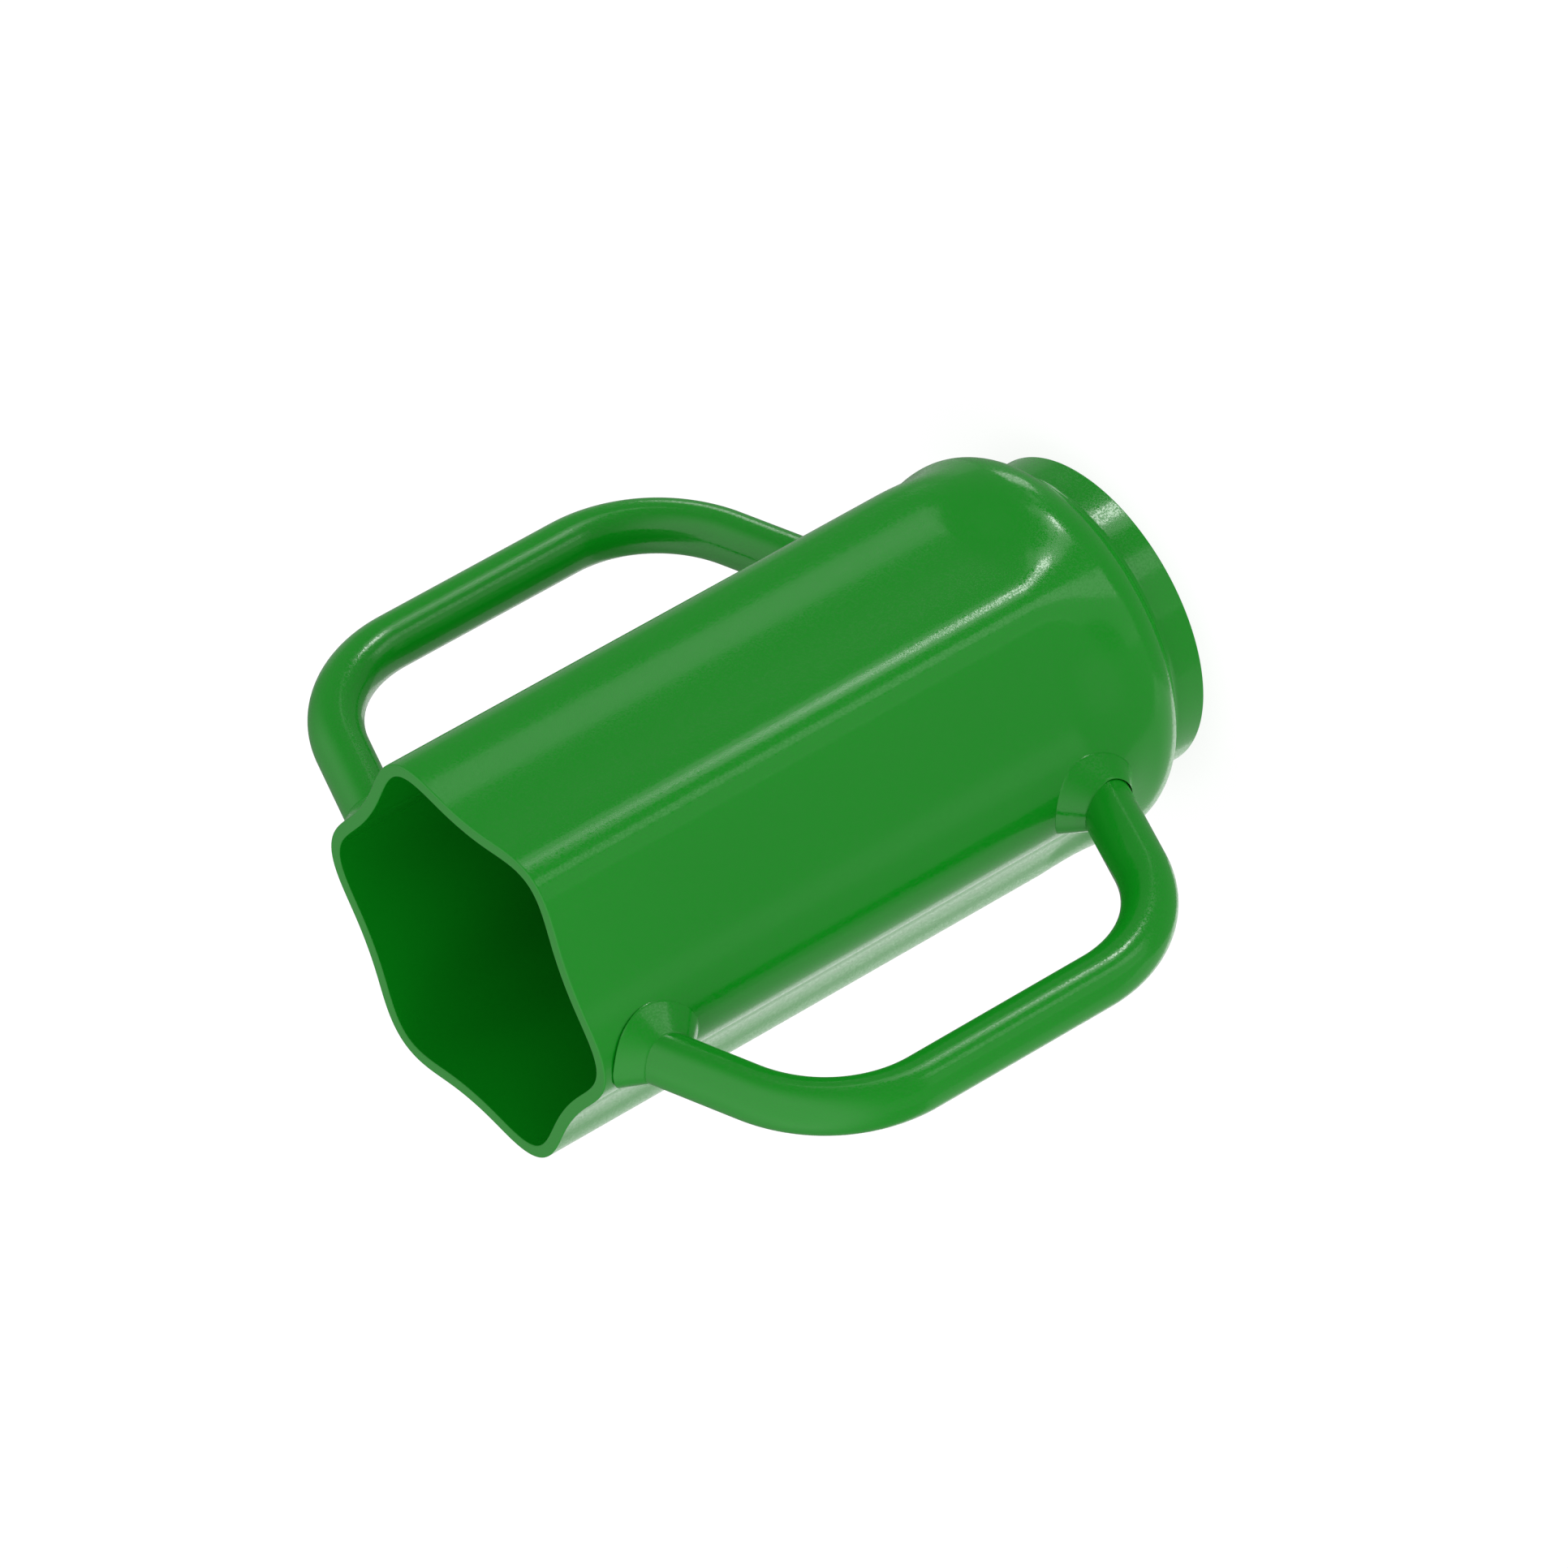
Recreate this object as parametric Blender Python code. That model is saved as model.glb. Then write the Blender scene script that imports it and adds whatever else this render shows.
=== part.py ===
# Two-handled fluted pouring cup, built as separate pieces: a moulded shell, two bent
# handle bars, a collar round each handle end and a hidden dowel in each handle end.
# Units are metres. The cup stands on z = 0 and its axis is the Z axis.

import math

import bmesh
import bpy
from mathutils import Matrix, Vector

# ---- Driving dimensions ----

# Shell
body_height = 0.195
ridge_radius = 0.0521
valley_radius = 0.0454
ridge_crispness = 0.0003
flute_count = 6
wall = 0.0033
rim_chamfer = 0.0004

# Lower end of the shell
flute_end_height = 0.0442
shoulder_height = 0.0226
shoulder_radius = 0.0504
shoulder_rounding = 0.0135
neck_fillet = 0.0028
foot_radius = 0.0414
foot_edge_chamfer = 0.0004
foot_ring_width = 0.0045
foot_recess = 0.0015
floor_corner_radius = 0.0030

# Handles
bar_radius = 0.0069
grip_reach = 0.1004
upper_root_below_rim = 0.0141
lower_root_height = 0.0417
leg_slant = math.radians(20.3)
bend_radius = 0.0359

# Collars. Each reaches further along its ridge than across it, and leads towards its bar.
upper_collar_along = 0.0058
upper_collar_across = 0.0043
upper_collar_lead = 0.0014
lower_collar_along = 0.0052
lower_collar_across = 0.0040
lower_collar_lead = 0.0020
collar_rise = 0.0047
collar_edge = 0.0004

# Dowels
dowel_radius = 0.0030
dowel_chamfer = 0.0004
dowel_length_in_bar = 0.0180
pocket_skin = 0.0013

# Clearances
joint_gap = 0.0003
dowel_gap = 0.0003

# Mesh fineness
steps_per_flute = 16
bar_sides = 28
bend_steps = 10
collar_steps = 48
dowel_sides = 20

# ---- Derived sizes ----

ring_steps = flute_count * steps_per_flute
mid_radius = (ridge_radius + valley_radius) / 2 - ridge_crispness
flute_swing = (ridge_radius - valley_radius) / 2
pocket_depth = wall - pocket_skin
upper_root_height = body_height - upper_root_below_rim


def remove_everything():
    for thing in list(bpy.data.objects):
        bpy.data.objects.remove(thing, do_unlink=True)


def make_material(name, colour, roughness, metallic):
    material = bpy.data.materials.new(name)
    material.use_nodes = True
    shader = material.node_tree.nodes["Principled BSDF"]
    shader.inputs["Base Color"].default_value = (*colour, 1.0)
    shader.inputs["Roughness"].default_value = roughness
    shader.inputs["Metallic"].default_value = metallic
    return material


def make_object(name, bm, material, sharp_degrees=35):
    bmesh.ops.recalc_face_normals(bm, faces=bm.faces)
    mesh = bpy.data.meshes.new(name)
    bm.to_mesh(mesh)
    bm.free()
    mesh.shade_smooth()
    mesh.set_sharp_from_angle(angle=math.radians(sharp_degrees))
    piece = bpy.data.objects.new(name, mesh)
    bpy.context.scene.collection.objects.link(piece)
    if material:
        mesh.materials.append(material)
    return piece


def make_cutter(name, bm):
    cutter = make_object(name, bm, None)
    cutter.hide_render = True
    cutter.display_type = "WIRE"
    return cutter


def cut_with(piece, cutter):
    modifier = piece.modifiers.new("cut_" + cutter.name, "BOOLEAN")
    modifier.operation = "DIFFERENCE"
    modifier.solver = "EXACT"
    modifier.object = cutter


def skin_rings(bm, rings, closed=False):
    # Rings are lists of points of equal length. Neighbouring rings are joined by quads. The
    # first and last rings are capped, or joined to each other when the skin is closed.
    loops = [[bm.verts.new(point) for point in ring] for ring in rings]
    count = len(loops[0])
    pairs = list(zip(loops, loops[1:]))
    if closed:
        pairs.append((loops[-1], loops[0]))
    for lower, upper in pairs:
        for i in range(count):
            j = (i + 1) % count
            bm.faces.new((lower[i], lower[j], upper[j], upper[i]))
    if not closed:
        bm.faces.new(list(reversed(loops[0])))
        bm.faces.new(loops[-1])


# ---- Shape of the shell's outside ----


def flute_point(angle, offset):
    # A point of the fluted outline, moved outward by offset along the outline's normal.
    turn = flute_count * angle
    radius = mid_radius + flute_swing * math.cos(turn) + ridge_crispness * math.cos(2 * turn)
    slope = -flute_count * flute_swing * math.sin(turn)
    slope -= 2 * flute_count * ridge_crispness * math.sin(2 * turn)
    out = Vector((math.cos(angle), math.sin(angle)))
    side = Vector((-out.y, out.x))
    normal = (out * radius - side * slope).normalized()
    return out * radius + normal * offset


def flute_share(height):
    # 1 where the wall is fully fluted, 0 where it is round, with an eased change between.
    part = (flute_end_height - height) / (flute_end_height - shoulder_height)
    part = min(1.0, max(0.0, part))
    return 1 - part * part * (3 - 2 * part)


def wall_ring(height, offset):
    # The upright wall's outline at a height, moved outward by offset.
    share = flute_share(height)
    ring = []
    for step in range(ring_steps):
        angle = 2 * math.pi * step / ring_steps
        fluted = flute_point(angle, offset)
        out = Vector((math.cos(angle), math.sin(angle)))
        point = fluted * share + out * (shoulder_radius + offset) * (1 - share)
        ring.append(Vector((point.x, point.y, height)))
    return ring


def round_ring(radius, height):
    ring = []
    for step in range(ring_steps):
        angle = 2 * math.pi * step / ring_steps
        ring.append(Vector((radius * math.cos(angle), radius * math.sin(angle), height)))
    return ring


def wall_heights():
    # Heights of the wall's rings, from the shoulder up to the rim.
    easing_rings = 7
    heights = []
    for step in range(easing_rings):
        part = step / easing_rings
        heights.append(shoulder_height + (flute_end_height - shoulder_height) * part)
    straight_rings = 2
    for step in range(straight_rings + 1):
        part = step / straight_rings
        heights.append(flute_end_height + (body_height - rim_chamfer - flute_end_height) * part)
    return heights


def neck_layout():
    # The shoulder's arc meets the neck's fillet where the line between their centres crosses.
    shoulder_centre = shoulder_radius - shoulder_rounding
    fillet_centre = foot_radius + neck_fillet
    across = fillet_centre - shoulder_centre
    reach = shoulder_rounding + neck_fillet
    drop = math.sqrt(reach * reach - across * across)
    return shoulder_centre, fillet_centre, drop, math.atan2(drop, across)


def lower_profile(offset):
    # Radius and height pairs from the foot's wall up to the shoulder, moved outward by offset.
    shoulder_centre, fillet_centre, drop, meet_angle = neck_layout()
    fillet_size = neck_fillet - offset
    shoulder_size = shoulder_rounding + offset
    fillet_steps = 4
    shoulder_steps = 6
    profile = []
    for step in range(fillet_steps + 1):
        angle = meet_angle * step / fillet_steps
        radius = fillet_centre - fillet_size * math.cos(angle)
        height = shoulder_height - drop + fillet_size * math.sin(angle)
        profile.append((radius, height))
    for step in range(1, shoulder_steps):
        angle = meet_angle * (1 - step / shoulder_steps)
        radius = shoulder_centre + shoulder_size * math.cos(angle)
        height = shoulder_height - shoulder_size * math.sin(angle)
        profile.append((radius, height))
    return profile


def outside_rings():
    # From the middle of the underside, round the foot and up to the rim.
    inner_edge = foot_radius - foot_ring_width
    rings = [round_ring(inner_edge, foot_recess)]
    rings.append(round_ring(inner_edge, 0.0))
    rings.append(round_ring(foot_radius - foot_edge_chamfer, 0.0))
    rings.append(round_ring(foot_radius, foot_edge_chamfer))
    rings += [round_ring(radius, height) for radius, height in lower_profile(0.0)]
    rings += [wall_ring(height, 0.0) for height in wall_heights()]
    return rings


def inside_rings():
    # From the rim down the inside to the floor.
    heights = list(reversed(wall_heights()))
    rings = [wall_ring(height, -wall) for height in heights]
    inner_profile = list(reversed(lower_profile(-wall)))
    rings += [round_ring(radius, height) for radius, height in inner_profile]
    floor_height = foot_recess + wall
    corner_steps = 3
    side_radius = inner_profile[-1][0]
    corner_centre = side_radius - floor_corner_radius
    for step in range(corner_steps + 1):
        angle = math.pi / 2 * step / corner_steps
        radius = corner_centre + floor_corner_radius * math.cos(angle)
        height = floor_height + floor_corner_radius * (1 - math.sin(angle))
        rings.append(round_ring(radius, height))
    return rings


def rim_rings():
    outer = [Vector((p.x, p.y, body_height)) for p in wall_ring(body_height, -rim_chamfer)]
    inner = [Vector((p.x, p.y, body_height)) for p in wall_ring(body_height, rim_chamfer - wall)]
    return [outer, inner]


# ---- Handle layout, in the plane through the cup's axis ----


def leg_points(root_height, lean):
    # The leg's axis: where it crosses the ridge, and its direction outward. Lean is +1 up, -1 down.
    root = Vector((ridge_radius, 0.0, root_height))
    along = Vector((math.cos(leg_slant), 0.0, lean * math.sin(leg_slant)))
    return root, along


def handle_path():
    # Centre line of the bar, from inside the shell's wall, round both bends and back.
    upper_root, upper_along = leg_points(upper_root_height, -1)
    lower_root, lower_along = leg_points(lower_root_height, 1)
    leg_length = (grip_reach - ridge_radius) / math.cos(leg_slant)
    upper_corner = upper_root + upper_along * leg_length
    lower_corner = lower_root + lower_along * leg_length
    inward = wall + bar_radius
    path = [upper_root - upper_along * inward]
    tangent = bend_radius * math.tan((math.pi / 2 - leg_slant) / 2)
    path.append(upper_root + upper_along * (leg_length - tangent) / 2)
    path += bend_points(upper_corner, -upper_along, Vector((0, 0, -1)), tangent)
    path += bend_points(lower_corner, Vector((0, 0, 1)), -lower_along, tangent)
    path.append(lower_root + lower_along * (leg_length - tangent) / 2)
    path.append(lower_root - lower_along * inward)
    return path


def bend_points(corner, back, forward, tangent):
    # Points of the arc that rounds a corner between two directions that lead away from it.
    start = corner + back * tangent
    end = corner + forward * tangent
    centre = corner + (back + forward).normalized() * math.hypot(tangent, bend_radius)
    first = start - centre
    last = end - centre
    sweep = first.angle(last)
    points = []
    for step in range(bend_steps + 1):
        part = step / bend_steps
        lead = math.sin((1 - part) * sweep) / math.sin(sweep)
        trail = math.sin(part * sweep) / math.sin(sweep)
        points.append(centre + first * lead + last * trail)
    return points


def side_turn(side):
    # The handles sit on opposite ridges: +1 is the +X side, -1 the -X side.
    return Matrix.Rotation(0.0 if side > 0 else math.pi, 4, "Z")


def make_handle(name, side, material):
    path = handle_path()
    across = Vector((0.0, 1.0, 0.0))
    rings = []
    for i, point in enumerate(path):
        ahead = path[min(i + 1, len(path) - 1)]
        behind = path[max(i - 1, 0)]
        tangent = (ahead - behind).normalized()
        upright = across.cross(tangent)
        ring = []
        for step in range(bar_sides):
            angle = 2 * math.pi * step / bar_sides
            ring.append(point + (across * math.cos(angle) + upright * math.sin(angle)) * bar_radius)
        rings.append(ring)
    bm = bmesh.new()
    skin_rings(bm, rings)
    bm.transform(side_turn(side))
    return make_object(name, bm, material)


# ---- Cutters ----


def make_envelope():
    # The shell's outside plus the joint gap, so that what meets the shell ends just short of it.
    rings = [wall_ring(height, joint_gap) for height in wall_heights()]
    bm = bmesh.new()
    skin_rings(bm, rings)
    return make_cutter("shell_envelope", bm)


def dowel_ends(root_height, lean):
    # Ends of the dowel's hole in the bar and of its pocket in the wall.
    root, along = leg_points(root_height, lean)
    pocket_end = root - along * (pocket_depth / math.cos(leg_slant))
    bar_end = root + along * dowel_length_in_bar
    return pocket_end, bar_end


def add_round_bar(bm, start, end, radius, chamfer):
    along = (end - start).normalized()
    across = Vector((0.0, 1.0, 0.0))
    upright = across.cross(along)
    stations = [(start, radius), (end, radius)]
    if chamfer:
        stations = [(start, radius - chamfer), (start + along * chamfer, radius)]
        stations += [(end - along * chamfer, radius), (end, radius - chamfer)]
    rings = []
    for point, size in stations:
        ring = []
        for step in range(dowel_sides):
            angle = 2 * math.pi * step / dowel_sides
            ring.append(point + (across * math.cos(angle) + upright * math.sin(angle)) * size)
        rings.append(ring)
    skin_rings(bm, rings)


def make_dowel_bores(name, side):
    # One cutter for both of a handle's dowel holes. It cuts the bar and the shell alike.
    bm = bmesh.new()
    for root_height, lean in ((upper_root_height, -1), (lower_root_height, 1)):
        pocket_end, bar_end = dowel_ends(root_height, lean)
        add_round_bar(bm, pocket_end, bar_end, dowel_radius + dowel_gap, 0.0)
    bm.transform(side_turn(side))
    return make_cutter(name, bm)


def make_dowel(name, side, root_height, lean, material):
    pocket_end, bar_end = dowel_ends(root_height, lean)
    along = (bar_end - pocket_end).normalized()
    bm = bmesh.new()
    start = pocket_end + along * dowel_gap
    end = bar_end - along * dowel_gap
    add_round_bar(bm, start, end, dowel_radius, dowel_chamfer)
    bm.transform(side_turn(side))
    return make_object(name, bm, material)


# ---- Collars ----


def outline_reach(across, height, offset):
    # How far out the wall is, on the +X side, at a distance across from the ridge's line.
    share = flute_share(height)
    low = 0.0
    high = math.pi / flute_count
    halvings = 40
    for _ in range(halvings):
        angle = (low + high) / 2
        fluted = flute_point(angle, offset)
        out = Vector((math.cos(angle), math.sin(angle)))
        point = fluted * share + out * (shoulder_radius + offset) * (1 - share)
        if point.y < abs(across):
            low = angle
        else:
            high = angle
    return point.x


def bore_point(root, along, radius, angle, rise):
    # A point on a cylinder round the leg, where it stands rise above the wall's surface.
    across = radius * math.sin(angle)
    level_side = Vector((-along.z, 0.0, along.x))
    start = root + level_side * (radius * math.cos(angle)) + Vector((0.0, across, 0.0))
    point = start
    corrections = 6
    for _ in range(corrections):
        target = outline_reach(across, point.z, joint_gap) + rise
        point = point + along * ((target - point.x) / along.x)
    return point


def make_collar(name, side, root_height, lean, sizes, material):
    # A ring with a sloping face from the wall up to the bar. Its underside follows the flute.
    reach_along, reach_across, lead = sizes
    root, along = leg_points(root_height, lean)
    bore = bar_radius + joint_gap
    long_half = bore / math.cos(leg_slant) + reach_along
    side_half = bore + reach_across
    base_steps = 4
    loops = []
    for step in range(collar_steps):
        angle = 2 * math.pi * step / collar_steps
        inner = bore_point(root, along, bore, angle, 0.0)
        edge_height = root.z + lean * lead + long_half * math.cos(angle)
        edge_across = side_half * math.sin(angle)
        loop = []
        for base_step in range(base_steps + 1):
            part = base_step / base_steps
            height = inner.z + (edge_height - inner.z) * part
            across = inner.y + (edge_across - inner.y) * part
            loop.append(Vector((outline_reach(across, height, joint_gap), across, height)))
        loop.append(loop[-1] + Vector((collar_edge, 0.0, 0.0)))
        loop.append(bore_point(root, along, bore + collar_edge, angle, collar_rise))
        loop.append(bore_point(root, along, bore, angle, collar_rise))
        loops.append(loop)
    bm = bmesh.new()
    skin_rings(bm, loops, closed=True)
    bm.transform(side_turn(side))
    return make_object(name, bm, material, sharp_degrees=40)


# ---- Shell ----


def make_shell(name, material):
    bm = bmesh.new()
    skin_rings(bm, outside_rings() + rim_rings() + inside_rings())
    return make_object(name, bm, material)


def build():
    remove_everything()
    shell_green = make_material("shell_green", (0.004, 0.22, 0.010), 0.32, 0.0)
    handle_green = make_material("handle_green", (0.004, 0.20, 0.012), 0.28, 0.0)
    collar_green = make_material("collar_green", (0.004, 0.21, 0.011), 0.34, 0.0)
    dowel_grey = make_material("dowel_grey", (0.45, 0.46, 0.47), 0.55, 0.0)

    upper_collar = (upper_collar_along, upper_collar_across, upper_collar_lead)
    lower_collar = (lower_collar_along, lower_collar_across, lower_collar_lead)
    ends = (
        ("upper", upper_root_height, -1, upper_collar),
        ("lower", lower_root_height, 1, lower_collar),
    )
    shell = make_shell("cup_shell", shell_green)
    envelope = make_envelope()
    for side, side_name in ((-1, "left"), (1, "right")):
        bores = make_dowel_bores("dowel_bores_" + side_name, side)
        handle = make_handle("handle_" + side_name, side, handle_green)
        cut_with(handle, envelope)
        cut_with(handle, bores)
        cut_with(shell, bores)
        for end_name, root_height, lean, collar_sizes in ends:
            place = side_name + "_" + end_name
            make_collar("collar_" + place, side, root_height, lean, collar_sizes, collar_green)
            make_dowel("dowel_" + place, side, root_height, lean, dowel_grey)


build()
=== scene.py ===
import math

import bmesh
import bpy
from mathutils import Matrix, Vector


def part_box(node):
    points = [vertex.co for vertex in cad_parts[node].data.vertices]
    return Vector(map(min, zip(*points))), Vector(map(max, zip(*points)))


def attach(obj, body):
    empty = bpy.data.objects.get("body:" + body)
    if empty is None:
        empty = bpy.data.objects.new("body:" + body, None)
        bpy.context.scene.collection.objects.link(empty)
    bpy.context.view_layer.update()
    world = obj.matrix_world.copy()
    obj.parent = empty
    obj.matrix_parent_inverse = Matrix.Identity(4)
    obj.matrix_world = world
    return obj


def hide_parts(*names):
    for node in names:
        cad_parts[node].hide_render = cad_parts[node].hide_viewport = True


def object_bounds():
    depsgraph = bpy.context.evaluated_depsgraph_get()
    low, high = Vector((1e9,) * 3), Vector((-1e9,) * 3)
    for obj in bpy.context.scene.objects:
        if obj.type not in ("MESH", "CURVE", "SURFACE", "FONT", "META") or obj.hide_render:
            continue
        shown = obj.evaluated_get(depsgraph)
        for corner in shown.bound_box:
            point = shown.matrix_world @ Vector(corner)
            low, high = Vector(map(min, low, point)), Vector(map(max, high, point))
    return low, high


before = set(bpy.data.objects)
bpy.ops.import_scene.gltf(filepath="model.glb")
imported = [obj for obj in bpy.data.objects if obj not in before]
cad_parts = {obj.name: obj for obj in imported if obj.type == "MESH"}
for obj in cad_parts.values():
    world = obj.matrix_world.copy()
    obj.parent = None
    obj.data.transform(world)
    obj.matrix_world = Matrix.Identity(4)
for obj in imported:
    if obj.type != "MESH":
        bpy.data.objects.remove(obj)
cadLow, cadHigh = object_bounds()
middle = (cadLow + cadHigh) / 2
print("frame loaded:", len(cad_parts), "nodes")


def towards(azimuth, elevation):
    # Direction out from the middle, in degrees: azimuth 0 is -Y and 90 is +X.
    turn, rise = math.radians(azimuth), math.radians(elevation)
    level = math.cos(rise)
    return Vector((math.sin(turn) * level, -math.cos(turn) * level, math.sin(rise)))


# Camera: aimed at the middle of the cup's box, from the side of one handle and above, turned
# so that the cup lies across the picture.
view = {
    "distance": 3.1274,
    "azimuth": -40.06,
    "elevation": 27.81,
    "roll": 119.31,
    "lens": 298.97,
    "sensor": 36.0,
    "clip": (0.05, 100.0),
}


def addCamera():
    turn, roll = math.radians(view["azimuth"]), math.radians(view["roll"])
    back = towards(view["azimuth"], view["elevation"])
    levelRight = Vector((math.cos(turn), math.sin(turn), 0.0))
    levelUp = back.cross(levelRight)
    up = levelUp * math.cos(roll) + levelRight * math.sin(roll)
    right = up.cross(back)
    place = Matrix((right, up, back)).transposed().to_4x4()
    place.translation = middle + back * view["distance"]
    data = bpy.data.cameras.new("camera")
    data.lens = view["lens"]
    data.sensor_width = view["sensor"]
    data.clip_start, data.clip_end = view["clip"]
    camera = bpy.data.objects.new("camera", data)
    camera.matrix_world = place
    bpy.context.scene.collection.objects.link(camera)
    bpy.context.scene.camera = camera


addCamera()
print("camera placed")


def addNode(tree, kind, at=(0, 0), **settings):
    node = tree.nodes.new(kind)
    node.location = at
    for key, value in settings.items():
        setattr(node, key, value)
    return node


def feed(tree, socket, value):
    # A value is either another node's output or a constant.
    if isinstance(value, bpy.types.NodeSocket):
        tree.links.new(value, socket)
    else:
        socket.default_value = value


def calc(tree, operation, a, b=None, c=None):
    node = addNode(tree, "ShaderNodeMath", operation=operation)
    for socket, value in zip(node.inputs, (a, b, c)):
        if value is not None:
            feed(tree, socket, value)
    return node.outputs[0]


def remap(tree, value, given, wanted, at=(0, 0)):
    # A soft change from the wanted low to the wanted high, across the given band of the value.
    node = addNode(tree, "ShaderNodeMapRange", at, interpolation_type="SMOOTHSTEP")
    feed(tree, node.inputs["Value"], value)
    for name, limit in zip(("From Min", "From Max", "To Min", "To Max"), (*given, *wanted)):
        feed(tree, node.inputs[name], limit)
    return node.outputs["Result"]


def cloud(tree, place, scale, detail, at=(0, 0)):
    node = addNode(tree, "ShaderNodeTexNoise", at)
    feed(tree, node.inputs["Vector"], place)
    node.inputs["Scale"].default_value = scale
    node.inputs["Detail"].default_value = detail
    return node.outputs["Fac"]


def blendTones(tree, share, first, second, at=(0, 0)):
    node = addNode(tree, "ShaderNodeMix", at, data_type="RGBA")
    feed(tree, node.inputs["Factor"], share)
    node.inputs["A"].default_value = first
    node.inputs["B"].default_value = second
    return node.outputs["Result"]


def newFinish(name):
    finish = bpy.data.materials.new(name)
    finish.use_nodes = True
    tree = finish.node_tree
    place = addNode(tree, "ShaderNodeTexCoord", (-1200, 0)).outputs["Object"]
    return finish, tree, tree.nodes["Principled BSDF"], place


def setInputs(modifier, values):
    # A tree's inputs are set by their identifiers, before the piece is first evaluated.
    for item in modifier.node_group.interface.items_tree:
        if item.item_type == "SOCKET" and item.in_out == "INPUT" and item.name in values:
            modifier[item.identifier] = values[item.name]


def plainPiece(name, mesh):
    piece = bpy.data.objects.new(name, mesh)
    bpy.context.scene.collection.objects.link(piece)
    return piece


def bakeTree(name, source, tree, values):
    # Runs a Geometry Nodes tree on a source mesh and keeps the result as a plain mesh.
    modifier = source.modifiers.new("tree", "NODES")
    modifier.node_group = tree
    setInputs(modifier, values)
    graph = bpy.context.evaluated_depsgraph_get()
    mesh = bpy.data.meshes.new_from_object(source.evaluated_get(graph))
    source.modifiers.clear()
    bpy.data.objects.remove(source, do_unlink=True)
    mesh.name = name
    return plainPiece(name, mesh)


# Moulded, satin green: even colour with a slow drift of tone and a very fine pearly grain.
greenFinish = {
    "deep": (0.0016, 0.198, 0.0062, 1.0),
    "main": (0.0020, 0.216, 0.0070, 1.0),
    "toneScale": 9.0,
    "toneDetail": 3.0,
    "roughness": (0.09, 0.27),
    "grainSize": 0.0005,
    "grainDetail": 1.0,
    "grainBand": (0.35, 0.65),
    "grainHeight": 0.00001,
}


def satinGreen(name):
    finish, tree, shader, place = newFinish(name)
    drift = cloud(tree, place, greenFinish["toneScale"], greenFinish["toneDetail"], (-900, 200))
    tone = blendTones(tree, drift, greenFinish["deep"], greenFinish["main"], (-500, 200))
    tree.links.new(tone, shader.inputs["Base Color"])

    grain = cloud(tree, place, 1.0 / greenFinish["grainSize"], greenFinish["grainDetail"], (-900, -300))
    gloss = remap(tree, grain, greenFinish["grainBand"], greenFinish["roughness"], (-500, -100))
    tree.links.new(gloss, shader.inputs["Roughness"])

    bump = addNode(tree, "ShaderNodeBump", (-500, -400))
    bump.inputs["Strength"].default_value = 1.0
    bump.inputs["Distance"].default_value = greenFinish["grainHeight"]
    feed(tree, bump.inputs["Height"], grain)
    tree.links.new(bump.outputs["Normal"], shader.inputs["Normal"])
    return finish


shellFinish = satinGreen("shell satin green")
barFinish = satinGreen("bar satin green")
collarFinish = satinGreen("collar satin green")
print("finishes mixed")


# Cup: one moulding with a fluted wall, a round shoulder and a foot.
cup = {
    "fluteCount": 6,
    "valleyRadius": 0.0454,
    "crispness": 0.0003,
    "wall": 0.0033,
    "rimRound": 0.0004,
    "fluteEnd": 0.0442,
    "shoulderHeight": 0.0226,
    "shoulderRadius": 0.0504,
    "shoulderRounding": 0.0135,
    "neckFillet": 0.0028,
    "footRadius": 0.0414,
    "footEdge": 0.0003,
    "footRing": 0.0045,
    "footRecess": 0.0015,
    "floorCorner": 0.0030,
    "recessEdge": 0.0002,
    "stepsAround": 240,
    "roundSteps": 5,
    "filletSteps": 10,
    "shoulderSteps": 20,
    "easingSteps": 26,
    "straightSteps": 12,
    "cornerSteps": 8,
    "mergeDistance": 0.000002,
    # rows close beside a rounding, which keep the shading of the flat part flat
    "roundGuard": 0.35,          # as a share of the rounding
    "neckGuards": (0.0012, 0.0003),
    "recessGuard": 0.0012,
    "ringGuard": 0.00012,
    "floorGuard": 0.0020,
}
cupLow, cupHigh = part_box("cup_shell")
bodyHeight = cupHigh.z - cupLow.z
ridgeRadius = cupHigh.x
midRadius = (ridgeRadius + cup["valleyRadius"]) / 2 - cup["crispness"]
fluteSwing = (ridgeRadius - cup["valleyRadius"]) / 2


def fluteShare(height):
    part = (cup["fluteEnd"] - height) / (cup["fluteEnd"] - cup["shoulderHeight"])
    part = min(1.0, max(0.0, part))
    return 1 - part * part * (3 - 2 * part)


def wallRow(height, inset):
    # Mean radius, height, share of the flutes and inset from the outline.
    share = fluteShare(height)
    return (midRadius * share + cup["shoulderRadius"] * (1 - share), height, share, inset)


def roundOver(corner, first, last, size):
    # Quarter round from one direction off a corner to the other, with a guard row at each end.
    rows = []
    steps, guard = cup["roundSteps"], size * cup["roundGuard"]
    for step in range(-1, steps + 2):
        angle = math.pi / 2 * min(1, max(0, step / steps))
        a = size * (1 - math.sin(angle)) + guard * (step < 0)
        b = size * (1 - math.cos(angle)) + guard * (step > steps)
        rows.append((corner[0] + first[0] * a + last[0] * b, corner[1] + first[1] * a + last[1] * b))
    return rows


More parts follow.
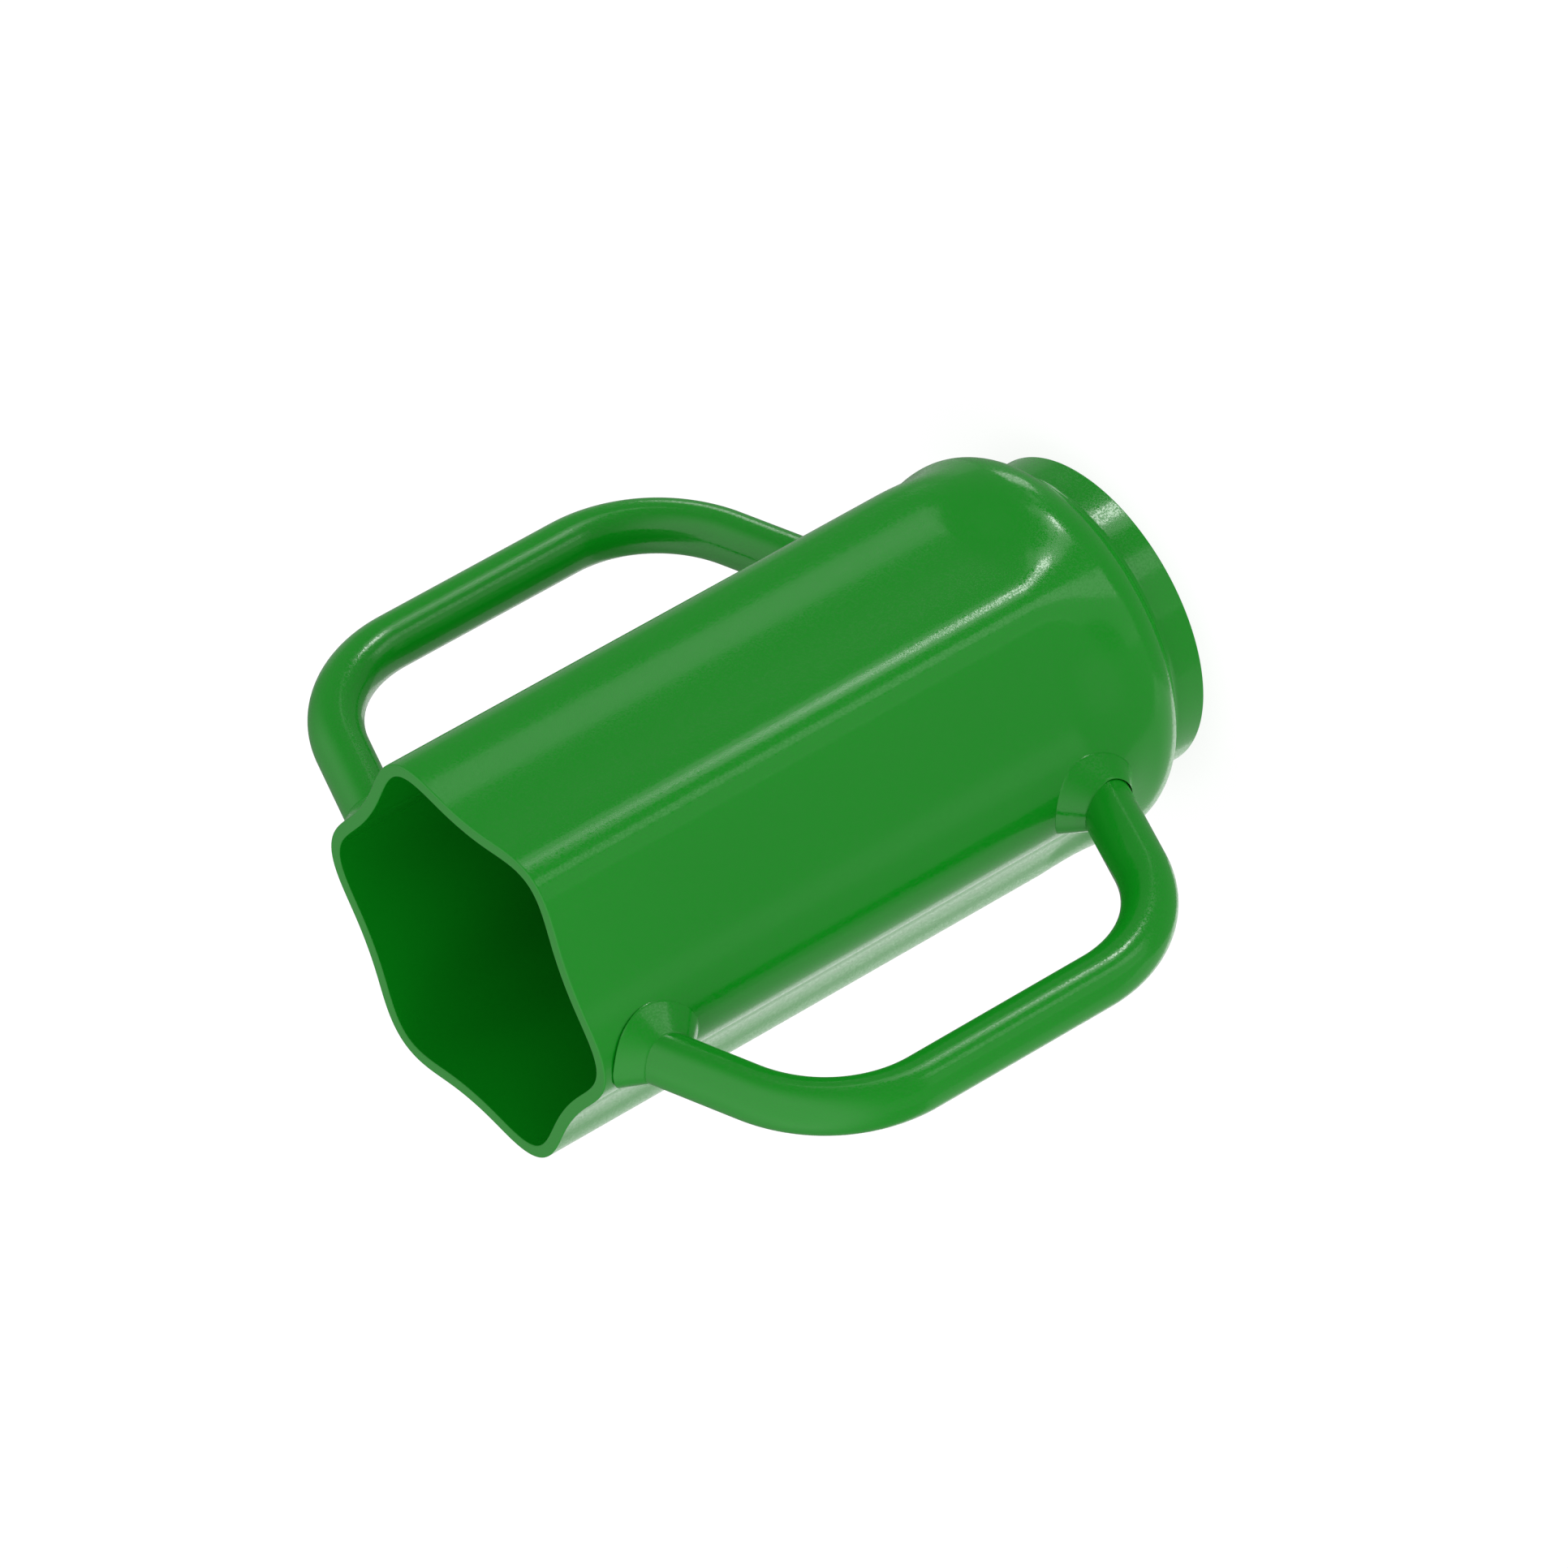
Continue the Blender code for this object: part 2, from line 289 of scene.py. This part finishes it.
def neckRows(offset):
    # From the top of the foot's wall up the fillet and the shoulder's arc, moved out by offset.
    shoulderCentre = cup["shoulderRadius"] - cup["shoulderRounding"]
    filletCentre = cup["footRadius"] + cup["neckFillet"]
    across = filletCentre - shoulderCentre
    reach = cup["shoulderRounding"] + cup["neckFillet"]
    drop = math.sqrt(reach * reach - across * across)
    meet = math.atan2(drop, across)
    filletSize = cup["neckFillet"] - offset
    shoulderSize = cup["shoulderRounding"] + offset
    foot = cup["shoulderHeight"] - drop
    rows = [(filletCentre - filletSize, foot - guard, 0.0, 0.0) for guard in cup["neckGuards"]]
    for step in range(cup["filletSteps"] + 1):
        angle = meet * step / cup["filletSteps"]
        rows.append((filletCentre - filletSize * math.cos(angle),
                     foot + filletSize * math.sin(angle), 0.0, 0.0))
    for step in range(1, cup["shoulderSteps"]):
        angle = meet * (1 - step / cup["shoulderSteps"])
        rows.append((shoulderCentre + shoulderSize * math.cos(angle),
                     cup["shoulderHeight"] - shoulderSize * math.sin(angle), 0.0, 0.0))
    return rows


def wallHeights():
    # Close rows where the flutes fade in, then even ones to just under the rim's rounding.
    low, high = cup["shoulderHeight"], cup["fluteEnd"]
    top = bodyHeight - cup["rimRound"] * 2.0
    easing, straight = cup["easingSteps"], cup["straightSteps"]
    heights = [low + (high - low) * step / easing for step in range(easing)]
    heights += [high + (top - high) * step / straight for step in range(straight + 1)]
    return heights


def cupProfile():
    # Rows from the middle of the underside, out round the foot, up to the rim and down the inside.
    foot, recess, wall = cup["footRadius"], cup["footRecess"], cup["wall"]
    edge, ease = cup["footEdge"], cup["recessEdge"]
    inner = foot - cup["footRing"]
    under = [(0.0, recess), (inner - cup["recessGuard"], recess)]
    under += [(inner - ease, recess), (inner, recess - ease)]
    under += [(inner, edge + cup["ringGuard"])]
    under += roundOver((inner, 0.0), (0, 1), (1, 0), edge)
    under += roundOver((foot, 0.0), (-1, 0), (0, 1), edge)
    rows = [(radius, height, 0.0, 0.0) for radius, height in under]
    rows += neckRows(0.0)

    rows += [wallRow(height, 0.0) for height in wallHeights()]
    rim = roundOver((0.0, bodyHeight), (0, -1), (1, 0), cup["rimRound"])
    rim += roundOver((wall, bodyHeight), (-1, 0), (0, -1), cup["rimRound"])
    rows += [wallRow(height, inset) for inset, height in rim]
    rows += [wallRow(height, wall) for height in reversed(wallHeights())]

    rows += list(reversed(neckRows(-wall)))
    corner = cup["floorCorner"]
    centre = rows[-1][0] - corner
    floorHeight = recess + wall
    for step in range(cup["cornerSteps"] + 1):
        angle = math.pi / 2 * step / cup["cornerSteps"]
        height = floorHeight + corner * (1 - math.sin(angle))
        rows.append((centre + corner * math.cos(angle), height, 0.0, 0.0))
    rows.append((centre - cup["floorGuard"], floorHeight, 0.0, 0.0))
    rows.append((0.0, floorHeight, 0.0, 0.0))
    return rows


def flutedTree():
    # Carries the profile round the axis. Each turn's radius follows the flutes' rule.
    tree = bpy.data.node_groups.new("fluted wall", "GeometryNodeTree")
    face = tree.interface
    face.new_socket("Profile", in_out="INPUT", socket_type="NodeSocketGeometry")
    for name, kind in (("Steps Around", "Int"), ("Rows", "Int"), ("Flute Count", "Float"),
                       ("Flute Swing", "Float"), ("Crispness", "Float"),
                       ("Merge Distance", "Float"), ("Finish", "Material")):
        face.new_socket(name, in_out="INPUT", socket_type="NodeSocket" + kind)
    face.new_socket("Cup", in_out="OUTPUT", socket_type="NodeSocketGeometry")
    entry = addNode(tree, "NodeGroupInput", (-1400, 0)).outputs
    leave = addNode(tree, "NodeGroupOutput", (1600, 0))

    grid = addNode(tree, "GeometryNodeMeshGrid", (-1000, 300))
    feed(tree, grid.inputs["Vertices X"], calc(tree, "ADD", entry["Steps Around"], 1.0))
    feed(tree, grid.inputs["Vertices Y"], entry["Rows"])
    index = addNode(tree, "GeometryNodeInputIndex", (-1200, -200)).outputs[0]
    # half a step added before the division keeps it from rounding down a column
    column = calc(tree, "FLOOR", calc(tree, "DIVIDE", calc(tree, "ADD", index, 0.5), entry["Rows"]))
    row = calc(tree, "SUBTRACT", index, calc(tree, "MULTIPLY", column, entry["Rows"]))
    angle = calc(tree, "MULTIPLY", calc(tree, "DIVIDE", column, entry["Steps Around"]), math.tau)

    def sample(value, kind):
        node = addNode(tree, "GeometryNodeSampleIndex", (-600, -400), data_type=kind)
        feed(tree, node.inputs["Geometry"], entry["Profile"])
        feed(tree, node.inputs["Value"], value)
        feed(tree, node.inputs["Index"], row)
        return node.outputs[0]

    def named(name):
        node = addNode(tree, "GeometryNodeInputNamedAttribute", (-900, -500), data_type="FLOAT")
        node.inputs["Name"].default_value = name
        return node.outputs["Attribute"]

    spot = addNode(tree, "ShaderNodeSeparateXYZ", (-400, -300))
    position = addNode(tree, "GeometryNodeInputPosition", (-900, -300)).outputs[0]
    feed(tree, spot.inputs[0], sample(position, "FLOAT_VECTOR"))
    share = sample(named("fluteShare"), "FLOAT")
    inset = sample(named("inset"), "FLOAT")

    turn = calc(tree, "MULTIPLY", angle, entry["Flute Count"])
    turnTwice = calc(tree, "MULTIPLY", turn, 2.0)
    wave = calc(tree, "ADD",
                calc(tree, "MULTIPLY", entry["Flute Swing"], calc(tree, "COSINE", turn)),
                calc(tree, "MULTIPLY", entry["Crispness"], calc(tree, "COSINE", turnTwice)))
    radius = calc(tree, "MULTIPLY_ADD", share, wave, spot.outputs["X"])
    steep = calc(tree, "ADD",
                 calc(tree, "MULTIPLY", entry["Flute Swing"], calc(tree, "SINE", turn)),
                 calc(tree, "MULTIPLY",
                      calc(tree, "MULTIPLY", entry["Crispness"], 2.0), calc(tree, "SINE", turnTwice)))
    slope = calc(tree, "MULTIPLY", calc(tree, "MULTIPLY", share, entry["Flute Count"]), steep)
    length = calc(tree, "SQRT", calc(tree, "ADD",
                                     calc(tree, "MULTIPLY", radius, radius),
                                     calc(tree, "MULTIPLY_ADD", slope, slope, 1e-12)))
    step = calc(tree, "DIVIDE", inset, length)   # the wall's thickness is square to the outline
    outward = calc(tree, "SUBTRACT", radius, calc(tree, "MULTIPLY", step, radius))
    sideways = calc(tree, "MULTIPLY", calc(tree, "MULTIPLY", step, slope), -1.0)
    cosine, sine = calc(tree, "COSINE", angle), calc(tree, "SINE", angle)
    place = addNode(tree, "ShaderNodeCombineXYZ", (600, -200))
    feed(tree, place.inputs["X"], calc(tree, "SUBTRACT",
                                       calc(tree, "MULTIPLY", outward, cosine),
                                       calc(tree, "MULTIPLY", sideways, sine)))
    feed(tree, place.inputs["Y"], calc(tree, "ADD",
                                       calc(tree, "MULTIPLY", outward, sine),
                                       calc(tree, "MULTIPLY", sideways, cosine)))
    feed(tree, place.inputs["Z"], spot.outputs["Z"])

    move = addNode(tree, "GeometryNodeSetPosition", (800, 200))
    feed(tree, move.inputs["Geometry"], grid.outputs["Mesh"])
    feed(tree, move.inputs["Position"], place.outputs[0])
    close = addNode(tree, "GeometryNodeMergeByDistance", (950, 200))
    feed(tree, close.inputs["Geometry"], move.outputs[0])
    feed(tree, close.inputs["Distance"], entry["Merge Distance"])
    smooth = addNode(tree, "GeometryNodeSetShadeSmooth", (1100, 200))
    feed(tree, smooth.inputs["Geometry"], close.outputs[0])
    real = addNode(tree, "GeometryNodeRealizeInstances", (1250, 200))
    feed(tree, real.inputs[0], smooth.outputs[0])
    paint = addNode(tree, "GeometryNodeSetMaterial", (1400, 200))
    feed(tree, paint.inputs["Geometry"], real.outputs[0])
    feed(tree, paint.inputs["Material"], entry["Finish"])
    tree.links.new(paint.outputs[0], leave.inputs[0])
    return tree


def turnOutward(mesh):
    # Faces of a closed mesh point outwards.
    bm = bmesh.new()
    bm.from_mesh(mesh)
    if bm.calc_volume(signed=True) < 0:
        bmesh.ops.reverse_faces(bm, faces=bm.faces)
    bm.to_mesh(mesh)
    bm.free()


def makeCup():
    rows = cupProfile()
    points = [(row[0], 0.0, row[1]) for row in rows]
    mesh = bpy.data.meshes.new("cup profile")
    mesh.from_pydata(points, [(i, i + 1) for i in range(len(rows) - 1)], [])
    for name, column in (("fluteShare", 2), ("inset", 3)):
        layer = mesh.attributes.new(name, "FLOAT", "POINT")
        layer.data.foreach_set("value", [row[column] for row in rows])
    values = {
        "Steps Around": cup["stepsAround"],
        "Rows": len(rows),
        "Flute Count": float(cup["fluteCount"]),
        "Flute Swing": fluteSwing,
        "Crispness": cup["crispness"],
        "Merge Distance": cup["mergeDistance"],
        "Finish": shellFinish,
    }
    piece = bakeTree("cupShell", plainPiece("cup profile", mesh), flutedTree(), values)
    turnOutward(piece.data)
    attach(piece, "root")
    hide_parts("cup_shell")
    return piece


cupShell = makeCup()
print("cup made:", len(cupShell.data.polygons), "faces")


# Handles: one bent round bar on each side.
bar = {
    "radius": 0.0069,
    "upperRootBelowRim": 0.0141,
    "lowerRoot": 0.0417,
    "slant": 20.3,
    "bend": 0.0359,
    "sides": 64,
    "bendSteps": 40,
    "legShares": (0.3, 0.5, 0.7, 0.9),     # rings along a leg's straight part
    "copeGap": 0.0001,
    "sharpAngle": 50.0,
    "halvings": 40,                        # of the search for a point on the outline
    "slides": 8,                           # corrections of a point slid onto the wall
}
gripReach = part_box("handle_right")[1].x - bar["radius"]
slant = math.radians(bar["slant"])


def flutePoint(angle, offset):
    turn = cup["fluteCount"] * angle
    radius = midRadius + fluteSwing * math.cos(turn) + cup["crispness"] * math.cos(2 * turn)
    slope = -cup["fluteCount"] * (fluteSwing * math.sin(turn) + 2 * cup["crispness"] * math.sin(2 * turn))
    out = Vector((math.cos(angle), math.sin(angle)))
    side = Vector((-out.y, out.x))
    return out * radius + (out * radius - side * slope).normalized() * offset


def outlineReach(across, height, offset):
    # How far out the wall is, on the +X side, at a distance across from the ridge's line.
    share = fluteShare(height)
    low, high = 0.0, math.pi / cup["fluteCount"]
    for _ in range(bar["halvings"]):
        angle = (low + high) / 2
        out = Vector((math.cos(angle), math.sin(angle)))
        point = flutePoint(angle, offset) * share + out * (cup["shoulderRadius"] + offset) * (1 - share)
        if point.y < abs(across):
            low = angle
        else:
            high = angle
    return point.x


def legAxis(end):
    # Where a leg's axis crosses the ridge and its direction outward, on the +X side.
    upper = end == "upper"
    height = bodyHeight - bar["upperRootBelowRim"] if upper else bar["lowerRoot"]
    lean = -1 if upper else 1
    return Vector((ridgeRadius, 0.0, height)), Vector((math.cos(slant), 0.0, lean * math.sin(slant)))


def pointOnLeg(end, radius, angle, rise, clearance):
    # A point on a cylinder round the leg, where it stands rise above the wall.
    root, along = legAxis(end)
    levelSide = Vector((-along.z, 0.0, along.x))
    across = radius * math.sin(angle)
    point = root + levelSide * (radius * math.cos(angle)) + Vector((0.0, across, 0.0))
    for _ in range(bar["slides"]):
        target = outlineReach(across, point.z, clearance) + rise
        point = point + along * ((target - point.x) / along.x)
    return point


def barRings():
    # Rings of the bar from the upper end, coped to the wall, round both bends to the lower end.
    radius, sides = bar["radius"], bar["sides"]
    angles = [math.tau * step / sides for step in range(sides)]
    rings = [[pointOnLeg("upper", radius, angle, 0.0, bar["copeGap"]) for angle in angles]]
    upperRoot, upperAlong = legAxis("upper")
    lowerRoot, lowerAlong = legAxis("lower")
    legLength = (gripReach - ridgeRadius) / math.cos(slant)
    tangent = bar["bend"] * math.tan((math.pi / 2 - slant) / 2)
    sweep = math.pi / 2 - slant
    stations = []
    for share in bar["legShares"]:
        stations.append((upperRoot + upperAlong * (legLength - tangent) * share, upperAlong))
    upperCorner = upperRoot + upperAlong * legLength
    lowerCorner = lowerRoot + lowerAlong * legLength
    for corner, back, forward in ((upperCorner, -upperAlong, Vector((0, 0, -1))),
                                  (lowerCorner, Vector((0, 0, 1)), -lowerAlong)):
        centre = corner + (back + forward).normalized() * math.hypot(tangent, bar["bend"])
        first = corner + back * tangent - centre
        last = corner + forward * tangent - centre
        for step in range(bar["bendSteps"] + 1):
            part = step / bar["bendSteps"]
            early, late = math.sin((1 - part) * sweep), math.sin(part * sweep)
            arm = (first * early + last * late) / math.sin(sweep)
            direction = (-back * early + forward * late) / math.sin(sweep)
            stations.append((centre + arm, direction.normalized()))
    for share in reversed(bar["legShares"]):
        stations.append((lowerRoot + lowerAlong * (legLength - tangent) * share, -lowerAlong))
    for point, direction in stations:
        levelSide = Vector((-direction.z, 0.0, direction.x))
        rings.append([point + levelSide * (radius * math.cos(angle))
                      + Vector((0, radius * math.sin(angle), 0)) for angle in angles])
    rings.append([pointOnLeg("lower", radius, math.pi - angle, 0.0, bar["copeGap"]) for angle in angles])
    return rings


def skinLoops(bm, loops, closed=False):
    # Closed loops join end to end; open ones get a cap at each end.
    made = [[bm.verts.new(point) for point in loop] for loop in loops]
    count = len(made[0])
    pairs = list(zip(made, made[1:]))
    if closed:
        pairs.append((made[-1], made[0]))
    for lower, upper in pairs:
        for i in range(count):
            j = (i + 1) % count
            bm.faces.new((lower[i], lower[j], upper[j], upper[i]))
    if not closed:
        for loop in (made[0], made[-1]):
            middle = bm.verts.new(sum((v.co for v in loop), Vector()) / count)
            for i in range(count):
                bm.faces.new((loop[i], loop[(i + 1) % count], middle))


def meshFrom(bm, name, sharp):
    bmesh.ops.recalc_face_normals(bm, faces=bm.faces)
    if bm.calc_volume(signed=True) < 0:
        bmesh.ops.reverse_faces(bm, faces=bm.faces)
    mesh = bpy.data.meshes.new(name)
    bm.to_mesh(mesh)
    bm.free()
    mesh.shade_smooth()
    mesh.set_sharp_from_angle(angle=math.radians(sharp))
    return mesh


def ontoSide(bm, side):
    # Built on the +X side; the left one is half a turn round.
    if side == "left":
        bm.transform(Matrix.Rotation(math.pi, 4, "Z"))


def makeBar(side):
    bm = bmesh.new()
    skinLoops(bm, barRings())
    ontoSide(bm, side)
    mesh = meshFrom(bm, "bar_" + side, bar["sharpAngle"])
    mesh.materials.append(barFinish)
    piece = plainPiece("bar_" + side, mesh)
    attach(piece, "root")
    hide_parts("handle_" + side)
    return piece


for side in ("left", "right"):
    makeBar(side)
print("bars bent")


# Collars: a flared ring between each bar end and the wall.
collar = {
    "reachAlong": {"upper": 0.0058, "lower": 0.0052},
    "reachAcross": {"upper": 0.0043, "lower": 0.0040},
    "lead": {"upper": 0.0014, "lower": 0.0020},
    "rise": 0.0047,
    "edge": 0.00012,
    "bed": -0.00006,          # where it sits tight it is let into the wall and onto the bar
    "steps": 144,
    "sharpAngle": 40.0,
    # rows of a slice, as shares of its way: along the wall, up the face and down the bore
    "bedShares": (0.0, 0.25, 0.5, 0.75, 0.92, 1.0),
    "faceShares": (0.06, 0.25, 0.5, 0.75, 0.94),
    "boreShares": (0.15, 0.5),
    # angle round the bar from the mouth's side, half width, ramp, and how far it stands off
    "liftedLip": {"upper": (42, 64, 50, 0.00055), "lower": (0, 0, 1, 0.0)},
    "looseBore": {"upper": (0, 0, 1, 0.0), "lower": (180, 104, 26, 0.00042)},
}


def standOff(around, spec):
    # A smooth bump round the collar: full inside the ramp and nothing past the half width.
    centre, half, ramp, height = spec
    turned = abs((math.degrees(around) + 180) % 360 - 180)     # the same on both sides
    off = abs(turned - centre)
    part = min(1.0, max(0.0, (half - off) / ramp))
    return height * part * part * (3 - 2 * part)


def collarLoops(end):
    # Each loop is one slice: along the wall, round the thin edge, up the face and down the bore.
    root, along = legAxis(end)
    lean = -1 if end == "upper" else 1
    edge, rise, bed = collar["edge"], collar["rise"], collar["bed"]
    longHalf = bar["radius"] / math.cos(slant) + collar["reachAlong"][end]
    sideHalf = bar["radius"] + collar["reachAcross"][end]
    loops = []
    for step in range(collar["steps"]):
        angle = math.tau * step / collar["steps"]
        lift = bed + standOff(angle, collar["liftedLip"][end])
        bore = bar["radius"] + bed + standOff(angle, collar["looseBore"][end])
        inner = pointOnLeg(end, bore, angle, 0.0, bed)
        edgeHeight = root.z + lean * collar["lead"][end] + longHalf * math.cos(angle)
        edgeAcross = sideHalf * math.sin(angle)
        loop = []
        for part in collar["bedShares"]:
            height = inner.z + (edgeHeight - inner.z) * part
            across = inner.y + (edgeAcross - inner.y) * part
            rest = bed + (lift - bed) * part * part
            loop.append(Vector((outlineReach(across, height, rest), across, height)))
        foot = loop[-1] + Vector((edge, 0.0, 0.0))
        top = pointOnLeg(end, bore + edge, angle, rise, 0.0)
        crest = pointOnLeg(end, bore, angle, rise, 0.0)
        loop.append(foot)
        loop += [foot.lerp(top, part) for part in collar["faceShares"]]
        loop += [top, crest]
        loop += [crest.lerp(inner, part) for part in collar["boreShares"]]
        loops.append(loop)
    return loops


def makeCollar(side, end):
    name = "collar_" + side + "_" + end
    bm = bmesh.new()
    skinLoops(bm, collarLoops(end), closed=True)
    ontoSide(bm, side)
    mesh = meshFrom(bm, name, collar["sharpAngle"])
    mesh.materials.append(collarFinish)
    piece = plainPiece(name + "_flare", mesh)
    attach(piece, "root")
    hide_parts(name)
    return piece


for side in ("left", "right"):
    for end in ("upper", "lower"):
        makeCollar(side, end)
print("collars fitted")


# Dowels: the hidden keys in the bar ends keep their shape and get a plain grey.
dowel = {
    "dark": (0.40, 0.41, 0.42, 1.0),
    "pale": (0.50, 0.51, 0.52, 1.0),
    "speckleScale": 900.0,
    "speckleDetail": 2.0,
    "roughness": 0.6,
}


def dowelGrey():
    finish, tree, shader, place = newFinish("dowel grey")
    speckle = cloud(tree, place, dowel["speckleScale"], dowel["speckleDetail"], (-900, 100))
    tone = blendTones(tree, speckle, dowel["dark"], dowel["pale"], (-400, 100))
    tree.links.new(tone, shader.inputs["Base Color"])
    shader.inputs["Roughness"].default_value = dowel["roughness"]
    return finish


dowelFinish = dowelGrey()
for name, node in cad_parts.items():
    if name.startswith("dowel_"):
        node.data.materials.clear()
        node.data.materials.append(dowelFinish)
print("dowels finished")


# Studio: pale floor, pale surroundings and soft lights.
studio = {
    "floorColour": (0.22, 0.22, 0.22, 1.0),
    "floorRoughness": 0.9,
    "floorGlow": 0.85,
    "floorSize": 40.0,
    "skyAbove": 1.1,
    "skyBelow": 0.26,
    "skyBlend": (-0.10, 0.60),
    "skyFarSide": 140,
    "skyFarBand": (0.2, 0.9),
    "skyFarShare": 0.45,
    "distance": 3.0,
    # azimuth, elevation, width and height in degrees, brightness
    "panels": {
        "keyBox": (14, -32.5, 10, 7, 12.0),
        "keySpill": (3, -30, 8, 9, 1.5),
        "keyTail": (15, -25.5, 11, 6, 1.5),
        "highSpill": (25.5, -24, 6, 12, 0.9),
        "lowSpill": (39, -38, 7, 6, 0.6),
        "secondBox": (66, -43, 14, 15, 2.3),
        "tallSoftBox": (-29, -36, 14, 26, 1.25),
        "wideSoftBox": (-53, -38, 24, 34, 0.36),
        "nearWall": (-88, -25, 44, 60, 0.14),
        "backWall": (-151, -42, 66, 44, 0.37),
        "farWall": (161, -40, 25, 40, 0.75),
        "rightWall": (102, -22, 40, 24, 0.16),
    },
    # the same, but seen only as light on the surface and not as a reflection
    "fills": {
        "sideFill": (-100, 10, 60, 50, 1.0),
        "frontFill": (-12, 25, 50, 40, 0.40),
        "topFill": (-30, 75, 50, 50, 0.38),
    },
}


def makeFloor():
    size = studio["floorSize"]
    mesh = bpy.data.meshes.new("floor")
    corners = [(-size, -size, 0), (size, -size, 0), (size, size, 0), (-size, size, 0)]
    mesh.from_pydata(corners, [], [(0, 1, 2, 3)])
    paper = bpy.data.materials.new("pale floor")
    paper.use_nodes = True
    shader = paper.node_tree.nodes["Principled BSDF"]
    shader.inputs["Base Color"].default_value = studio["floorColour"]
    shader.inputs["Roughness"].default_value = studio["floorRoughness"]
    shader.inputs["Specular IOR Level"].default_value = 0.0
    shader.inputs["Emission Color"].default_value = (1.0, 1.0, 1.0, 1.0)
    shader.inputs["Emission Strength"].default_value = studio["floorGlow"]
    mesh.materials.append(paper)
    floor = plainPiece("floor", mesh)
    floor.visible_glossy = False    # light also comes from under the floor
    floor.visible_shadow = False
    return floor


def makeSky():
    # Brighter above than below, with a soft change from just under the horizon, and dimmer on
    # the far side.
    world = bpy.data.worlds.new("pale studio")
    world.use_nodes = True
    bpy.context.scene.world = world
    tree = world.node_tree
    shade = tree.nodes["Background"]
    shade.inputs["Color"].default_value = (1.0, 1.0, 1.0, 1.0)
    direction = addNode(tree, "ShaderNodeTexCoord", (-800, 0)).outputs["Generated"]
    facing = addNode(tree, "ShaderNodeVectorMath", (-600, -300), operation="DOT_PRODUCT")
    feed(tree, facing.inputs[0], direction)
    facing.inputs[1].default_value = towards(studio["skyFarSide"], 0.0)
    above = studio["skyAbove"]
    dimmed = remap(tree, facing.outputs["Value"], studio["skyFarBand"],
                   (above, above * studio["skyFarShare"]), (-400, -300))
    split = addNode(tree, "ShaderNodeSeparateXYZ", (-600, 0))
    feed(tree, split.inputs[0], direction)
    strength = remap(tree, split.outputs["Z"], studio["skyBlend"],
                     (studio["skyBelow"], dimmed), (-200, 0))
    tree.links.new(strength, shade.inputs["Strength"])


def addPanel(name, azimuth, elevation, wide, high, brightness):
    # A soft rectangular light that faces the middle of the cup, sized by the angle it fills.
    away = towards(azimuth, elevation)
    data = bpy.data.lights.new(name, "AREA")
    data.shape = "RECTANGLE"
    data.size = 2 * studio["distance"] * math.tan(math.radians(wide) / 2)
    data.size_y = 2 * studio["distance"] * math.tan(math.radians(high) / 2)
    data.energy = brightness * math.pi * data.size * data.size_y
    panel = bpy.data.objects.new(name, data)
    panel.location = middle + away * studio["distance"]
    panel.rotation_mode = "QUATERNION"
    panel.rotation_quaternion = away.to_track_quat("Z", "Y")
    panel.visible_camera = False
    bpy.context.scene.collection.objects.link(panel)
    return panel


makeFloor()
makeSky()
for name, values in studio["panels"].items():
    addPanel(name, *values)
for name, values in studio["fills"].items():
    addPanel(name, *values).visible_glossy = False
bpy.context.scene.view_settings.view_transform = "Standard"
print("studio lit")
